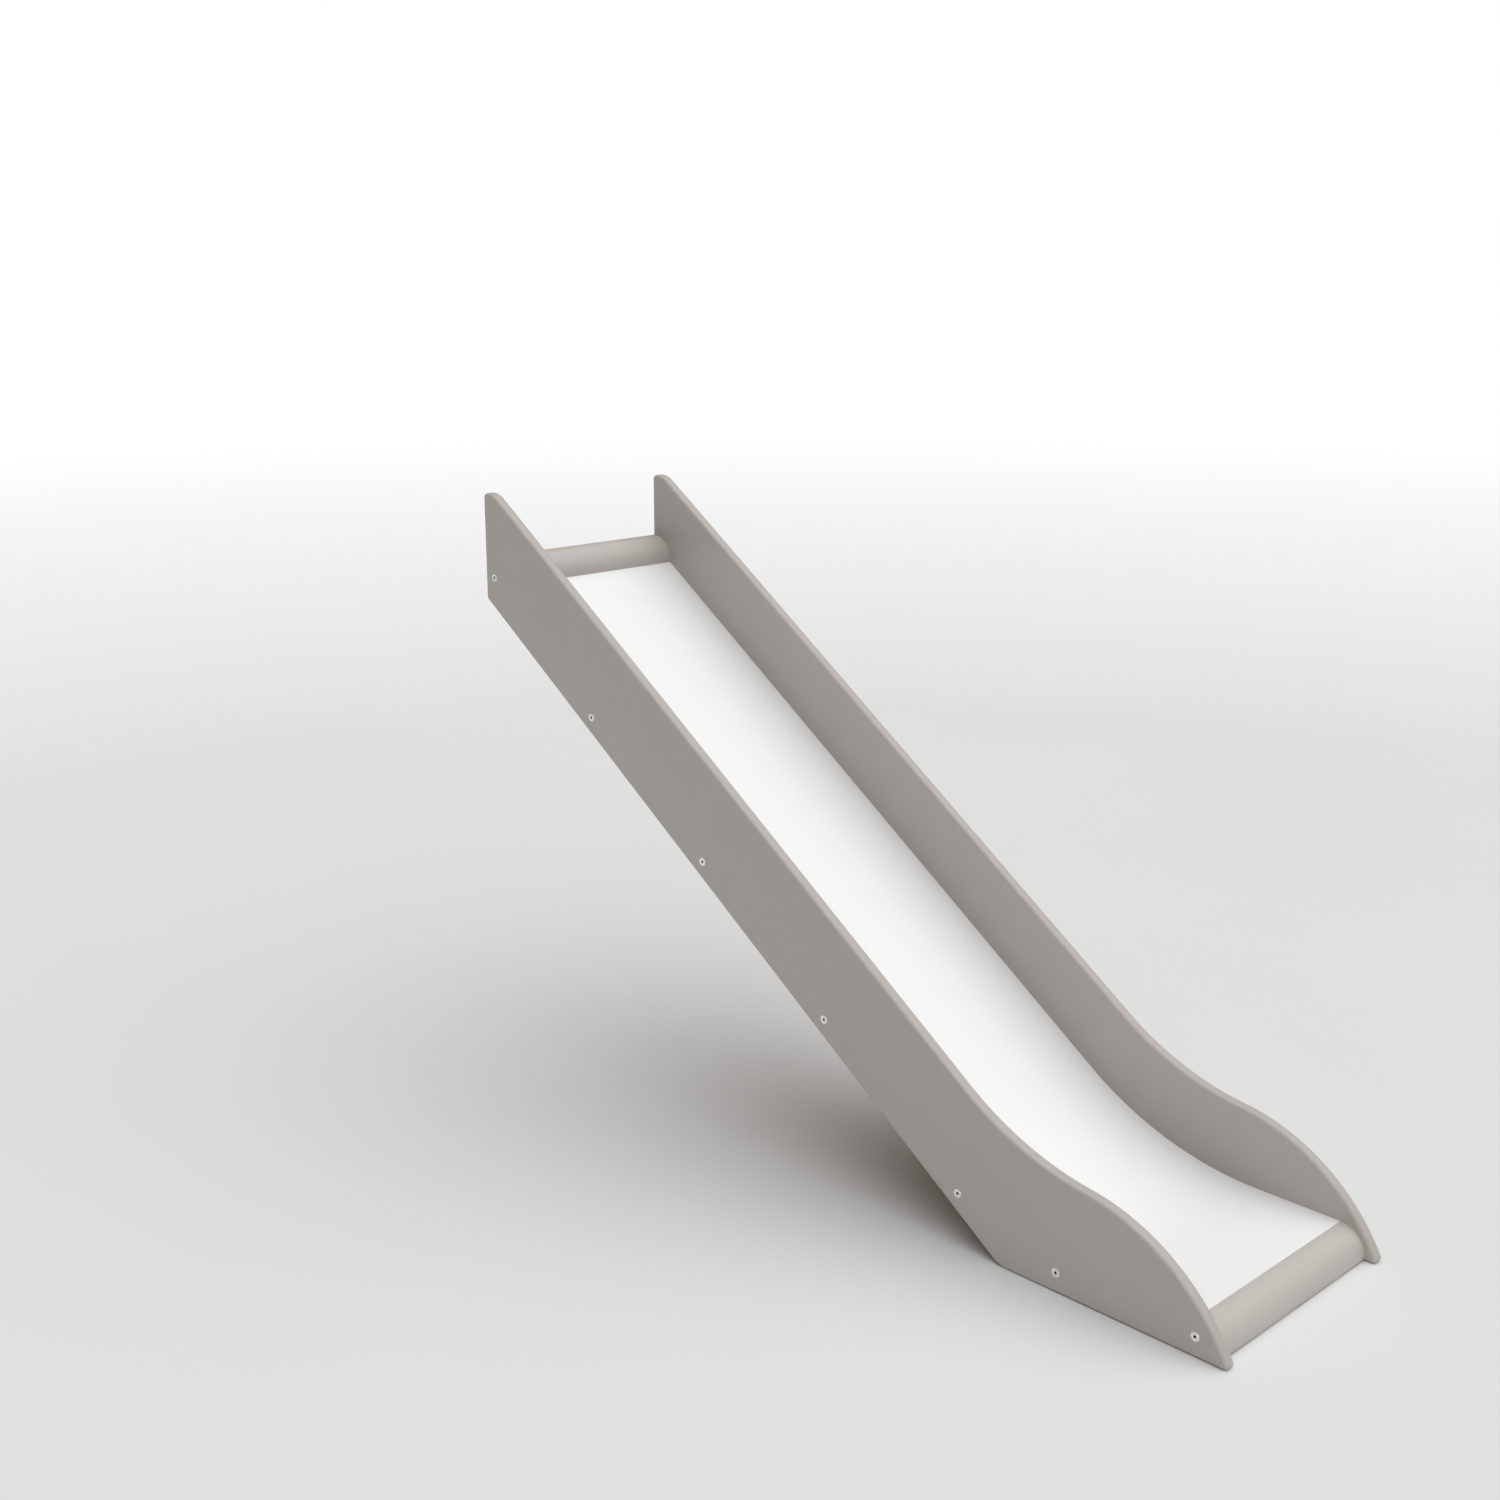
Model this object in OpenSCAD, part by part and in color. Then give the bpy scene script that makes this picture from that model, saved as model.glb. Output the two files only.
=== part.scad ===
// A children's slide that hangs on the side rail of a raised bed and stands on the floor.
//
// X runs across the slide, the exit points towards -Y and +Z is up. The origin lies on the
// floor, midway across the slide and midway along its run.
// Side views are drawn flat as [run, height]: run counts from the back face of the slide
// towards the exit, and height from the floor. All sizes are in millimetres.

/* [Slide] */
// Height of the top rail above the floor
deck_h = 862; // [700:1:1100]
// Slope of the sliding surface in degrees
slope = 35.1; // [28:0.1:43]
// Clear width between the side panels
chute_w = 358; // [280:1:500]
// Height of the sliding surface above the floor at the exit
exit_h = 46; // [44:1:80]
// Radius with which the sliding surface levels out
sheet_bend_r = 520; // [350:5:650]

/* [Side panels] */
// Thickness of a side panel
panel_t = 18; // [15:0.5:28]
// Height of a side panel above the sliding surface, square to the slope
wall_h = 114; // [80:1:150]
// Depth of a side panel below the sliding surface, square to the slope
under_h = 46; // [42:1:70]
// Height above the floor of the corner that the hollow bend rounds off
knee_h = 177; // [150:1:215]
// Radius of the hollow bend in the upper edge
knee_r = 455; // [300:5:600]
// Slope of the upper edge where the hollow bend runs into the toe, in degrees
crest_slope = 7; // [4:0.5:12]
// Radius of the round toe
toe_r = 297; // [240:1:360]
// Radius of the round crown at the top of the upper edge
crown_r = 40; // [30:1:60]
// Distance from the back edge to the highest point of the crown
crown_back = 12.5; // [8:0.5:20]
// Radius of the lower corner at the back
back_corner_r = 9; // [4:1:20]
// Radius where the lower edge comes down to the floor
heel_r = 40; // [20:1:60]
// Radius of the tip of the toe
tip_r = 6; // [3:0.5:12]

/* [Sliding sheet] */
// Thickness of the sheet
sheet_t = 4; // [3:0.1:5]
// Depth of the grooves that hold the sheet in the side panels
groove_d = 6; // [4:0.5:8]
// Clearance around the sheet in its grooves
groove_clear = 0.15; // [0.05:0.05:0.3]
// Length of sheet that is let into the top rail
let_in = 15; // [8:1:20]

/* [Rails] */
// Depth of the top rail from back to front
top_rail_d = 45; // [40:1:60]
// Height of the top rail
top_rail_h = 62; // [55:1:80]
// Drop from the top of the top rail to where the sheet leaves its front face
nose_drop = 45; // [38:1:55]
// Radius of the round front edge of both rails
nose_r = 40; // [25:1:40]
// Drop from the top of the top rail to its bolts
rail_bolt_drop = 32; // [26:1:38]
// Depth of the bottom rail from back to front
exit_rail_d = 60; // [56:1:90]
// Distance from the tip of the side panels back to the front of the bottom rail
exit_setback = 17; // [8:1:40]
// Distance from the front of the bottom rail back to its bolts
exit_bolt_in = 32; // [26:1:38]
// Gap between the bottom rail and the floor
floor_gap = 2; // [1:0.5:5]

/* [Battens] */
// Number of battens under the sloping part of the sheet
slope_battens = 4; // [3:1:5]
// Width of a batten along the slide
batten_w = 45; // [40:1:60]
// Height of a batten under the straight part of the sheet
batten_h = 36; // [32:1:38]
// Distance from where the sheet leaves the top rail down to the first batten
first_batten = 290; // [150:1:350]
// Distance from the last sloping batten to where the slope would reach the exit level
last_batten_gap = 94; // [80:1:200]
// Distance from the front of the bottom rail back to the foot batten
foot_batten_gap = 251; // [200:1:300]
// Height above the floor of the bolts in the foot batten and in the bottom rail
foot_bolt_h = 29; // [24:1:30]

/* [Bolts, nuts and dowels] */
// Diameter of the connector bolts
bolt_d = 6; // [5:0.5:7]
// Length of a connector bolt
bolt_len = 60; // [54:1:70]
// Diameter of the countersunk bolt head
bolt_head_d = 13.5; // [12:0.5:15]
// Thickness of the rim of the bolt head
bolt_rim = 0.5; // [0.2:0.1:1]
// Width across the flats of the hex socket
hex_w = 4; // [3:0.5:5]
// Depth of the hex socket
hex_deep = 3; // [2:0.5:4]
// Clearance around a bolt in its hole
bolt_clear = 0.5; // [0.2:0.1:0.8]
// Diameter of a barrel nut
nut_d = 10; // [9:0.5:12]
// Length of a barrel nut
nut_len = 14; // [12:1:16]
// Distance from the end of a rail or batten in to its barrel nut
nut_in = 34; // [30:1:38]
// Width of the screwdriver slot in the end of a barrel nut
nut_slot_w = 1.4; // [1:0.1:2]
// Depth of that slot
nut_slot_deep = 1.5; // [1:0.1:3]
// Diameter of a wooden dowel
dowel_d = 8; // [6:0.5:9]
// Length of a wooden dowel
dowel_len = 30; // [24:1:40]
// Length of a dowel that sits in the side panel
dowel_in_panel = 10; // [7:0.5:12]
// Distance between a bolt and the dowel beside it
dowel_off = 14; // [12:0.5:15]
// Chamfer on the ends of dowels, bolts and inserts
end_chamfer = 0.8; // [0.4:0.1:1.5]
// Clearance around dowels, barrel nuts and inserts, and in threads
fit_clear = 0.05; // [0.02:0.01:0.1]
// Room left at the bottom of a blind hole
hole_spare = 1; // [0.5:0.5:3]

/* [Bed mounting] */
// Distance between the two bolts that hold the slide to the bed
mount_pitch = 180; // [100:1:216]
// Diameter of these bolts
mount_bolt_d = 8; // [6:1:10]
// Outer diameter of the threaded inserts that take them
insert_d = 13; // [12:0.5:15]
// Length of an insert
insert_len = 18; // [15:1:22]

/* [Hidden] */
// Nothing below is meant to be changed by itself.
$fn = 96;
bend_fn = 720; // steps in the large arcs of the side view
bite = 0.01; // by which these arcs cut into what they run on from, for a clean joint
hex_sides = 6;

down = [cos(slope), -sin(slope)]; // along the slope, towards the exit
up = [sin(slope), cos(slope)]; // square to the slope, away from the floor

// The sliding surface: a slope, a bend and a level stretch.
sheet_top = [top_rail_d, deck_h - nose_drop];
slope_len = (sheet_top[1] - exit_h) / sin(slope);
sheet_knee = sheet_top + slope_len * down; // the corner that the bend rounds off
bend_c = [sheet_knee[0] + sheet_bend_r * tan(slope / 2), exit_h + sheet_bend_r];

// The upper edge of a side panel: a slope, a hollow bend and a round toe.
top_knee = [run_at(wall_h, knee_h), knee_h];
crest_dir = [cos(crest_slope), -sin(crest_slope)];
crest_up = [sin(crest_slope), cos(crest_slope)];
crest = top_knee + knee_r * tan((slope - crest_slope) / 2) * crest_dir;
knee_c = crest + knee_r * crest_up;
toe_c = crest - toe_r * crest_up;
tip_c = [toe_c[0] + sqrt(pow(toe_r - tip_r, 2) - pow(tip_r - toe_c[1], 2)), tip_r];
tip_meet = toe_c + toe_r / (toe_r - tip_r) * (tip_c - toe_c);
run_total = tip_c[0] + tip_r;

// Corners of a side panel where two straight edges meet.
back_angle = 90 - slope; // between the back edge and the slope
back_corner = [0, height_at(-under_h, 0)];
heel = [run_at(-under_h, 0), 0];
back_corner_cut = back_corner_r * tan(back_angle / 2);
heel_cut = heel_r * tan(slope / 2);

// Centre of the crown, where the upper edge bends over to the back edge.
crown_c = [crown_back, height_at(wall_h, crown_back) - crown_r / cos(slope)];

rail_front = run_total - exit_setback;
sheet_end = rail_front - nose_r;
panel_x = chute_w / 2; // inner face of a side panel
outer_x = panel_x + panel_t;
sheet_x = panel_x + groove_d - 2 * groove_clear; // edge of the sheet

// The members that join the side panels, from the top rail down to the bottom rail.
batten_count = slope_battens + 1;
bottom = batten_count + 1;
bolt_depth = sheet_t + batten_h / 2; // of the sloping bolts below the sliding surface
batten_pitch = (slope_len - last_batten_gap - first_batten) / (slope_battens - 1);
slope_points = [
    for (i = [0 : slope_battens - 1])
        sheet_top + (first_batten + i * batten_pitch) * down - bolt_depth * up
];
member_at = concat(
    [[top_rail_d / 2, deck_h - rail_bolt_drop]],
    slope_points,
    [[rail_front - foot_batten_gap, foot_bolt_h]],
    [[rail_front - exit_bolt_in, foot_bolt_h]]
);
member_names = concat(
    ["top_rail"],
    [for (i = [1 : batten_count]) str("batten_", i)],
    ["bottom_rail"]
);
hardware = ["_bolts", "_barrel_nuts", "_dowels"];

lacquer = [0.60, 0.575, 0.545];
laminate = [0.95, 0.95, 0.94];
pine = [0.86, 0.71, 0.50];
beech = [0.80, 0.62, 0.43];
nickel = [0.78, 0.77, 0.74];
zinc = [0.66, 0.67, 0.69];

// Height of the line that runs n above the slope, at a given run, and the other way round.
function height_at(n, run) = sheet_top[1] + n / cos(slope) - (run - sheet_top[0]) * tan(slope);
function run_at(n, height) = sheet_top[0] + (height_at(n, sheet_top[0]) - height) / tan(slope);

// The lowest side of a circle: its point at which the curve has the slope a.
function arc_point(c, r, a) = c - r * [sin(a), cos(a)];

// Tilt of member m, in degrees, and the place of its dowels as [back, up] from its bolts.
function tilt(m) = m > 0 && m <= slope_battens ? slope : 0;
function dowel_at(m) = m == 0 ? [0, -dowel_off] : [dowel_off, 0];

// ---- Side view ----

// Everything below the sliding surface, when that is raised by n.
module under_surface(n) {
    r = sheet_bend_r - n;
    difference() {
        polygon([
            [-deck_h, -deck_h],
            [-deck_h, height_at(n, -deck_h)],
            arc_point(bend_c, r, slope),
            bend_c,
            arc_point(bend_c, r, 0),
            [run_total, exit_h + n],
            [run_total, -deck_h]
        ]);
        translate(bend_c)
            circle(r + bite, $fn = bend_fn);
    }
}

// The sheet from the side, or its groove when it is grown by a clearance.
module sheet_section(grow = 0) {
    start = sheet_top - (let_in + grow) * down;
    end = sheet_end + grow;
    intersection() {
        difference() {
            under_surface(grow);
            under_surface(-sheet_t - grow);
        }
        polygon([start + top_rail_h * up, start - top_rail_h * up, [end, -deck_h], [end, deck_h]]);
    }
}

// A side panel from the side, without its groove and holes.
module panel_section() {
    difference() {
        polygon([
            back_corner + [0, back_corner_cut],
            back_corner + back_corner_cut * down,
            heel - heel_cut * down,
            heel + [heel_cut, 0],
            [crest[0], 0],
            crest,
            knee_c,
            arc_point(knee_c, knee_r, slope),
            crown_c + crown_r * up,
            [0, crown_c[1]]
        ]);
        translate(knee_c)
            circle(knee_r + bite, $fn = bend_fn);
    }
    translate(back_corner + [back_corner_r, back_corner_cut])
        circle(back_corner_r);
    translate(heel + [heel_cut, heel_r])
        circle(heel_r);
    crown_section();
    toe_section();
}

// The round crown of a side panel, from the slope to the back edge.
module crown_section() {
    intersection() {
        translate(crown_c)
            circle(crown_r + bite, $fn = bend_fn);
        polygon([[0, crown_c[1]], [0, crown_c[1] + 2 * crown_r], crown_c + 2 * crown_r * up, crown_c]);
    }
}

// The round toe of a side panel, from just behind the crest to the tip.
module toe_section() {
    intersection() {
        translate(toe_c)
            circle(toe_r + bite, $fn = bend_fn);
        polygon([
            [toe_c[0], 0],
            [tip_c[0], 0],
            tip_meet,
            [tip_meet[0], 2 * crest[1]],
            [toe_c[0], 2 * crest[1]]
        ]);
    }
    translate(tip_c)
        circle(tip_r);
}

// A rail's section with a round front edge: its sharp corner would lie at [0, 0].
module rail_section(d, h) {
    polygon([[-d, -h], [0, -h], [0, -nose_r], [-nose_r, 0], [-d, 0]]);
    intersection() {
        translate([-nose_r, -nose_r])
            circle(nose_r);
        translate([-nose_r, -nose_r])
            square(nose_r);
    }
}

// Member m from the side. Battens end flush with the grooves, and rails make room for the sheet.
module member_section(m) {
    if (m == 0)
        difference() {
            translate([top_rail_d, deck_h])
                rail_section(top_rail_d, top_rail_h);
            sheet_section(groove_clear);
        }
    else if (m == bottom)
        difference() {
            translate([rail_front, exit_h])
                rail_section(exit_rail_d, exit_h - floor_gap);
            sheet_section(groove_clear);
        }
    else
        intersection() {
            translate(member_at[m])
                rotate(-tilt(m))
                    translate([-batten_w / 2, -batten_h / 2])
                        square([batten_w, 2 * batten_h]);
            under_surface(-sheet_t - groove_clear);
        }
}

// ---- Placing ----

// Stands a side view up and gives it thickness, from x = from to x = to.
module across(from, to) {
    translate([to, run_total / 2, 0])
        rotate([90, 0, -90])
            linear_extrude(to - from)
                children();
}

// Moves things to member m: +Y leads back along it and +Z leads up out of it.
module at_member(m) {
    translate([0, run_total / 2 - member_at[m][0], member_at[m][1]])
        rotate([tilt(m), 0, 0])
            children();
}

// Makes a pair: one at the left end and its mirror image at the right end.
module both_ends() {
    children();
    mirror([1, 0, 0])
        children();
}

// A cylinder along X, from x = from to x = to.
module rod(r, from, to) {
    translate([from, 0, 0])
        rotate([0, 90, 0])
            cylinder(r = r, h = to - from);
}

// Half of a cone's outline that tapers inwards at 45 degrees from a rim.
module head_outline(head_r, stem_r, rim) {
    polygon([[0, 0], [head_r, 0], [head_r, rim], [stem_r, rim + head_r - stem_r], [0, rim + head_r - stem_r]]);
}

// ---- Holes ----

// The hole for a bolt at the left end of a member, seen from its axis.
module bolt_hole(to) {
    rod(bolt_d / 2 + bolt_clear, -outer_x - 1, to);
}

module countersink() {
    translate([-outer_x, 0, 0])
        rotate([0, 90, 0])
            rotate_extrude()
                head_outline(bolt_head_d / 2, bolt_d / 2, bolt_rim);
}

module dowel_hole(m) {
    translate([0, dowel_at(m)[0], dowel_at(m)[1]])
        rod(
            dowel_d / 2 + fit_clear,
            -panel_x - dowel_in_panel - hole_spare / 2,
            -panel_x - dowel_in_panel + dowel_len + hole_spare
        );
}

// A barrel nut goes in from below.
module nut_hole() {
    translate([-panel_x + nut_in, 0, -2 * batten_h])
        cylinder(d = nut_d + 2 * fit_clear, h = 2 * batten_h + nut_len / 2 + hole_spare);
}

// ---- Sub-parts ----

// The side panel at -X, which is on the left when one looks into the exit.
module left_side_panel() {
    color(lacquer)
        difference() {
            across(-outer_x, -panel_x)
                panel_section();
            across(-panel_x - groove_d, -panel_x + 1)
                sheet_section(groove_clear);
            for (m = [0 : bottom])
                at_member(m) {
                    bolt_hole(-panel_x + 1);
                    countersink();
                    dowel_hole(m);
                }
        }
}

module right_side_panel() {
    mirror([1, 0, 0])
        left_side_panel();
}

module sliding_sheet() {
    color(laminate)
        across(-sheet_x, sheet_x)
            sheet_section();
}

// A rail or batten with the holes for its bolts, nuts and dowels at both ends.
module member(m) {
    color(m == 0 || m == bottom ? lacquer : pine)
        difference() {
            across(-panel_x, panel_x)
                member_section(m);
            at_member(m)
                both_ends() {
                    bolt_hole(-outer_x + bolt_len + hole_spare);
                    nut_hole();
                    dowel_hole(m);
                }
            if (m == 0)
                both_ends()
                    insert_hole();
        }
}

module bolts(m) {
    color(nickel)
        at_member(m)
            both_ends()
                translate([-outer_x, 0, 0])
                    rotate([0, 90, 0])
                        bolt();
}

// A countersunk bolt with its head at the origin, which points up along +Z.
module bolt() {
    r = bolt_d / 2;
    difference() {
        union() {
            rotate_extrude()
                head_outline(bolt_head_d / 2, r, bolt_rim);
            cylinder(r = r, h = bolt_len - end_chamfer);
            translate([0, 0, bolt_len - end_chamfer])
                cylinder(r1 = r, r2 = r - end_chamfer, h = end_chamfer);
        }
        translate([0, 0, -1])
            cylinder(d = hex_w / cos(180 / hex_sides), h = hex_deep + 1, $fn = hex_sides);
    }
}

// Barrel nuts are slotted at the end that shows, for turning them in line with the bolt.
module barrel_nuts(m) {
    color(zinc)
        at_member(m)
            both_ends()
                difference() {
                    translate([-panel_x + nut_in, 0, -nut_len / 2])
                        cylinder(d = nut_d, h = nut_len);
                    rod(bolt_d / 2 + fit_clear, -panel_x, 0);
                    translate([-panel_x + nut_in, 0, -nut_len / 2])
                        cube([2 * nut_d, nut_slot_w, 2 * nut_slot_deep], center = true);
                }
}

module dowels(m) {
    color(beech)
        at_member(m)
            both_ends()
                translate([-panel_x - dowel_in_panel, dowel_at(m)[0], dowel_at(m)[1]])
                    rotate([0, 90, 0])
                        dowel();
}

module dowel() {
    r = dowel_d / 2;
    rotate_extrude()
        polygon([
            [0, 0],
            [r - end_chamfer, 0],
            [r, end_chamfer],
            [r, dowel_len - end_chamfer],
            [r - end_chamfer, dowel_len],
            [0, dowel_len]
        ]);
}

// The hole in the back of the top rail for the left insert.
module insert_hole() {
    at_insert()
        translate([0, 0, -insert_len - hole_spare])
            cylinder(d = insert_d + 2 * fit_clear, h = insert_len + hole_spare + 1);
}

// Moves things to the left insert: +Z points out of the back of the top rail.
module at_insert() {
    translate([-mount_pitch / 2, run_total / 2, deck_h - rail_bolt_drop])
        rotate([-90, 0, 0])
            children();
}

module mounting_inserts() {
    color(zinc)
        both_ends()
            at_insert()
                translate([0, 0, -insert_len])
                    difference() {
                        insert_body();
                        translate([0, 0, -1])
                            cylinder(d = mount_bolt_d, h = insert_len + 2);
                    }
}

module insert_body() {
    r = insert_d / 2;
    cylinder(r1 = r - end_chamfer, r2 = r, h = end_chamfer);
    translate([0, 0, end_chamfer])
        cylinder(r = r, h = insert_len - end_chamfer);
}

left_side_panel();
right_side_panel();
sliding_sheet();
mounting_inserts();
for (m = [0 : bottom]) {
    member(m);
    bolts(m);
    barrel_nuts(m);
    dowels(m);
}
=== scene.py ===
"""Finishes the bed slide: rounded boards, lacquer, laminate, wood and metal around the CAD frame."""

import math

import bmesh
import bpy
from bpy.props import FloatProperty, FloatVectorProperty, IntProperty, PointerProperty
from mathutils import Matrix, Vector


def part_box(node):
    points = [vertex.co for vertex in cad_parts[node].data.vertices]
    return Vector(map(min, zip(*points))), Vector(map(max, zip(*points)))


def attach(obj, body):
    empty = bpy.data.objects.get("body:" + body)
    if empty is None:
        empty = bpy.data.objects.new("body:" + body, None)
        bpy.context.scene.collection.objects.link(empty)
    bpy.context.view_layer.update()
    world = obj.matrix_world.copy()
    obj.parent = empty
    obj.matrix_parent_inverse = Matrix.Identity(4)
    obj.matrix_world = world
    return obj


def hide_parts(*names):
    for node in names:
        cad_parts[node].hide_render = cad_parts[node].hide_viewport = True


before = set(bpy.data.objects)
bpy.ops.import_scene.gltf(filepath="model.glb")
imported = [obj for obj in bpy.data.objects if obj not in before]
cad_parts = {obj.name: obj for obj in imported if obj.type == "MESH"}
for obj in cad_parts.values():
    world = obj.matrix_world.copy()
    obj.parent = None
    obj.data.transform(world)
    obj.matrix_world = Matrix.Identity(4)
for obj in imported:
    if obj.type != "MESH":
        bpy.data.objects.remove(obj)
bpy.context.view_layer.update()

bl_info = {
    "name": "Bed slide",
    "version": (1, 0, 0),
    "blender": (4, 5, 0),
    "location": "3D View > Sidebar > Bed slide",
    "description": "Builds the boards, sheet, rails, battens and fasteners of a bed slide",
    "category": "Object",
}

# The slide is drawn from the side, in the Y-Z plane, and given its width along X.
ACROSS = Vector((1, 0, 0))
FRONT = Vector((0, -1, 0))
UP = Vector((0, 0, 1))
MM = 0.001
NEARLY_SQUARE = 0.001  # cosine below which two directions count as square to each other

MEMBERS = [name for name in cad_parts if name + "_bolts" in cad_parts]
RAILS = [name for name in MEMBERS if name.endswith("rail")]
BATTENS = [name for name in MEMBERS if name not in RAILS]

PANEL_LOW, PANEL_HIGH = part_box("left_side_panel")
INNER_X = -PANEL_HIGH.x  # half the clear width between the side panels
OUTER_X = -PANEL_LOW.x
BACK_Y = PANEL_HIGH.y
SHEET_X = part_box("sliding_sheet")[1].x
TOP_LOW, TOP_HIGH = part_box("top_rail")
EXIT_LOW, EXIT_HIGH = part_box("bottom_rail")


def middle(node):
    """The centre of a node's box, moved to x = 0."""
    low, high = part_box(node)
    return Vector((0, (low.y + high.y) / 2, (low.z + high.z) / 2))


def bolt_axis(member):
    """The point at x = 0 on the bolts' axis of a rail or batten."""
    return middle(member + "_bolts")


# ---- Sizes and colours that a user may change ----


def length(name, description, default):
    """A property for a length that is given here in millimetres."""
    return FloatProperty(
        name=name, description=description, default=default * MM, unit="LENGTH", precision=5
    )


def amount(name, description, default):
    return FloatProperty(name=name, description=description, default=default)


def triple(name, description, default):
    """A property for a place or a direction."""
    return FloatVectorProperty(name=name, description=description, default=default, subtype="XYZ")


def angle(name, description, default):
    """A property for an angle that is given here in degrees."""
    return FloatProperty(
        name=name, description=description, default=math.radians(default), subtype="ANGLE"
    )


def colour(name, description, default):
    return FloatVectorProperty(
        name=name, description=description, default=default, subtype="COLOR", size=3, min=0, max=1
    )


class PanelShape(bpy.types.PropertyGroup):
    """Outline of the side panels"""

    wall: length("Wall", "Height of a panel above the sliding surface, square to it", 114)
    under: length("Under", "Depth of a panel below the sliding surface, square to it", 46)
    knee_height: length("Knee height", "Height of the corner that the hollow bend rounds off", 177)
    knee_radius: length("Knee radius", "Radius of the hollow bend in the upper edge", 455)
    crest_slope: angle("Crest slope", "Slope where the hollow bend runs into the toe", 7)
    toe_radius: length("Toe radius", "Radius of the round toe", 297)
    crown_radius: length("Crown", "Radius of the round top of the upper edge", 40)
    crown_back: length("Crown setback", "From the back edge to the highest point of the crown", 12.5)
    crown_corner: length("Crown corner", "Radius that eases the crown into the back edge", 8)
    back_radius: length("Back corner", "Radius of the lower corner at the back", 9)
    heel_radius: length("Heel", "Radius where the lower edge comes down to the floor", 40)
    tip_radius: length("Tip", "Radius of the tip of the toe", 6)
    round_over: length("Round-over", "Radius of the routed edges of the board", 5)
    lip: length("Lip", "Lacquered lip around each countersink", 0.35)


class SheetShape(bpy.types.PropertyGroup):
    """The white sheet and the grooves that hold it"""

    thickness: length("Thickness", "Thickness of the sheet", 4)
    clearance: length("Clearance", "Clearance around the sheet in its grooves", 0.15)
    groove: length("Groove", "Depth of the grooves in the side panels", 6)
    let_in: length("Let in", "Length of sheet that is let into the top rail", 15)
    bend_radius: length("Bend radius", "Radius with which the sheet levels out", 520)
    nose_drop: length("Drop", "From the top of the top rail down to the sheet", 45)


class MemberShape(bpy.types.PropertyGroup):
    """The rails and battens that join the side panels"""

    nose_radius: length("Nose", "Radius of the round front edge of the rails", 40)
    batten_width: length("Batten width", "Width of a batten along the slide", 45)
    batten_height: length("Batten height", "Height of a batten under the straight sheet", 36)
    eased: length("Eased edges", "Radius of the eased long edges", 2.5)
    nut_hole: length("Nut hole", "Radius of the holes for the barrel nuts", 5.05)
    dowel_hole: length("Dowel hole", "Radius of the holes for the dowels", 4.05)
    bolt_hole: length("Bolt hole", "Radius of the holes for the bolts", 3.5)
    insert_hole: length("Insert hole", "Radius of the holes for the bed inserts", 6.55)
    spare: length("Spare depth", "Room left at the bottom of a blind hole", 1)


class HardwareShape(bpy.types.PropertyGroup):
    """Bolts, barrel nuts, dowels and threaded inserts"""

    bolt_radius: length("Bolt", "Radius of the bolt's shank", 3)
    bolt_length: length("Bolt length", "Length of a bolt with its head", 60)
    head_radius: length("Head", "Radius of the countersunk head", 6.75)
    head_rim: length("Head rim", "Thickness of the rim of the head", 0.5)
    head_sunk: length("Head sunk", "Depth of the head below the board's face", 0.2)
    hex_width: length("Hex socket", "Width across the flats of the socket", 4)
    hex_depth: length("Hex depth", "Depth of the socket", 3)
    thread_length: length("Thread length", "Length of thread at the end of a bolt", 28)
    thread_pitch: length("Thread pitch", "Pitch of the bolt's thread", 1)
    thread_depth: length("Thread depth", "Depth of the bolt's thread", 0.5)
    nut_radius: length("Barrel nut", "Radius of a barrel nut", 5)
    nut_length: length("Nut length", "Length of a barrel nut", 14)
    slot_width: length("Slot width", "Width of the slot in a barrel nut", 1.4)
    slot_depth: length("Slot depth", "Depth of the slot in a barrel nut", 1.5)
    dowel_radius: length("Dowel", "Radius of a dowel over its flutes", 4)
    flute: length("Flute", "Depth of a dowel's flutes", 0.35)
    flutes: IntProperty(name="Flutes", description="Number of flutes round a dowel", default=18, min=8)
    chamfer: length("Chamfer", "Chamfer at the ends of dowels and bolts", 0.8)
    insert_radius: length("Insert", "Outer radius of a threaded insert", 6.5)
    insert_bore: length("Insert bore", "Radius of the bore that takes the bed bolt", 4)
    insert_thread: length("Insert thread", "Depth of the coarse outer thread", 0.9)


class Finishes(bpy.types.PropertyGroup):
    """Base colours of the finishes"""

    lacquer: colour("Lacquer", "Warm grey satin lacquer", (0.420, 0.390, 0.364))
    # Painted light: the rails' lacquer is a paler copy of the panel lacquer. It stands in for the brighter
    # light on the rails' noses and tops.
    rail_lacquer: colour("Rail lacquer, painted lighter", "Lacquer of the rails, a little paler", (0.470, 0.438, 0.410))
    laminate: colour("Laminate", "White face of the sheet", (0.81, 0.81, 0.808))
    hardboard: colour("Hardboard", "Brown underside of the sheet", (0.235, 0.135, 0.07))
    pine: colour("Pine", "Untreated pine of the battens", (0.70, 0.50, 0.285))
    beech: colour("Beech", "Beech of the dowels", (0.58, 0.36, 0.20))
    nickel: colour("Nickel", "Nickel-plated bolts", (0.90, 0.89, 0.865))
    zinc: colour("Zinc", "Zinc-plated nuts and inserts", (0.60, 0.62, 0.65))


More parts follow.
